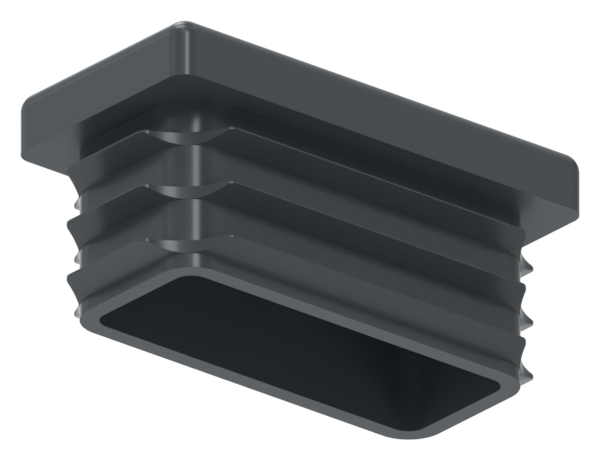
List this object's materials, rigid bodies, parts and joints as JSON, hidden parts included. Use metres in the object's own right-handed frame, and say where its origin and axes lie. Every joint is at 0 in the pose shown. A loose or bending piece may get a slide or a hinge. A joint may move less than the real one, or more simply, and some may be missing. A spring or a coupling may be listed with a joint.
{
  "type": "tube end cap",
  "caption": "Hollow push-in plug with thin flexible fins and a rounded head, which closes the open end of a rectangular tube.",
  "frame": {"origin": "middle of the seat, the underside of the head that lies against the tube's end", "axes": "+Z out of the tube through the head, +X along the tube's long side, +Y along its short side"},
  "size_m": [0.04, 0.02, 0.019],
  "materials": {
    "cap_plastic": "satin"
  },
  "bodies": {
    "root": {"end_cap": "cap_plastic"}
  },
  "joints": []
}
